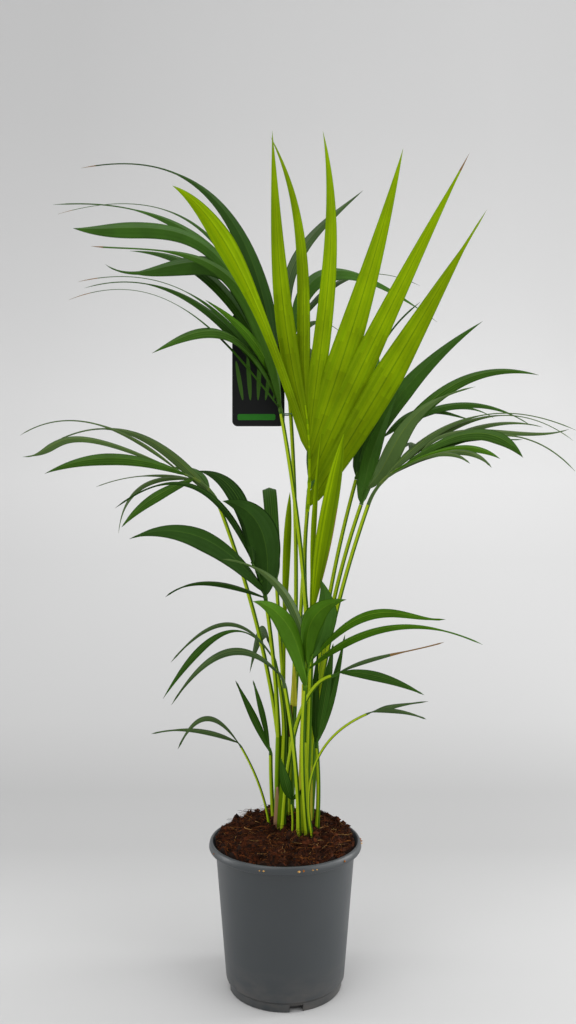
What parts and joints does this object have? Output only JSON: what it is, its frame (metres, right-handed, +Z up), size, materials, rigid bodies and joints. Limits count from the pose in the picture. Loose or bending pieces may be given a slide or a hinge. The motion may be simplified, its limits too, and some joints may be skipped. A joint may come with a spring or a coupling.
{
  "type": "potted kentia palm",
  "caption": "Young feather-leaved palm clump in a round nursery pot: upright and arching fronds on slender stalks, folded spears, coir soil.",
  "frame": {"origin": "centre of the pot's flat underside", "axes": "+Z up, +X to the viewer's right in the picture, -Y towards the viewer"},
  "size_m": [0.7204, 0.4852, 1.0661],
  "materials": {
    "pot": "matt slate grey moulded plastic",
    "coir": "rough damp coir potting mix",
    "stem": "satin green sheaths",
    "petiole": "satin yellow-green stalks",
    "leaf": "satin dark green leaf",
    "leaf_under": "matt grey-green leaf underside",
    "young_leaf": "satin yellow-green young leaf",
    "dry": "dry tan leaf tip and sheath",
    "label": "satin dark card"
  },
  "bodies": {
    "root": {"pot": "pot", "soil": "coir", "stem_left": "stem", "stem_right": "stem", "stem_middle": "stem", "stem_back": "stem", "petiole_crown": "petiole", "blade_crown": "young_leaf", "petiole_high_left": "petiole", "blade_high_left": "leaf", "petiole_high_back": "petiole", "blade_high_back": "leaf", "petiole_right_high": "petiole", "blade_right_high": "leaf", "petiole_right_arch": "petiole", "blade_right_arch": "leaf", "petiole_right_droop": "petiole", "blade_right_droop": "leaf", "petiole_left": "petiole", "blade_left": "leaf", "petiole_mid_left": "petiole", "blade_mid_left": "leaf", "petiole_front": "petiole", "blade_front": "leaf", "petiole_right_low": "petiole", "blade_right_low": "leaf", "petiole_right_dark": "petiole", "blade_right_dark": "leaf", "petiole_left_low": "petiole", "blade_left_low": "leaf", "petiole_left_mid": "petiole", "blade_left_mid": "leaf", "petiole_left_dark": "petiole", "blade_left_dark": "leaf", "petiole_left_small": "petiole", "blade_left_small": "leaf", "petiole_right_small": "petiole", "blade_right_small": "leaf", "petiole_seedling": "petiole", "blade_seedling": "leaf", "petiole_back_left": "petiole", "blade_back_left": "leaf", "petiole_back_right": "petiole", "blade_back_right": "leaf", "petiole_back_low": "petiole", "blade_back_low": "leaf", "spear_left": "young_leaf", "spear_middle": "young_leaf", "spear_right": "young_leaf", "label_card": "label", "label_tie": "label"}
  },
  "joints": []
}
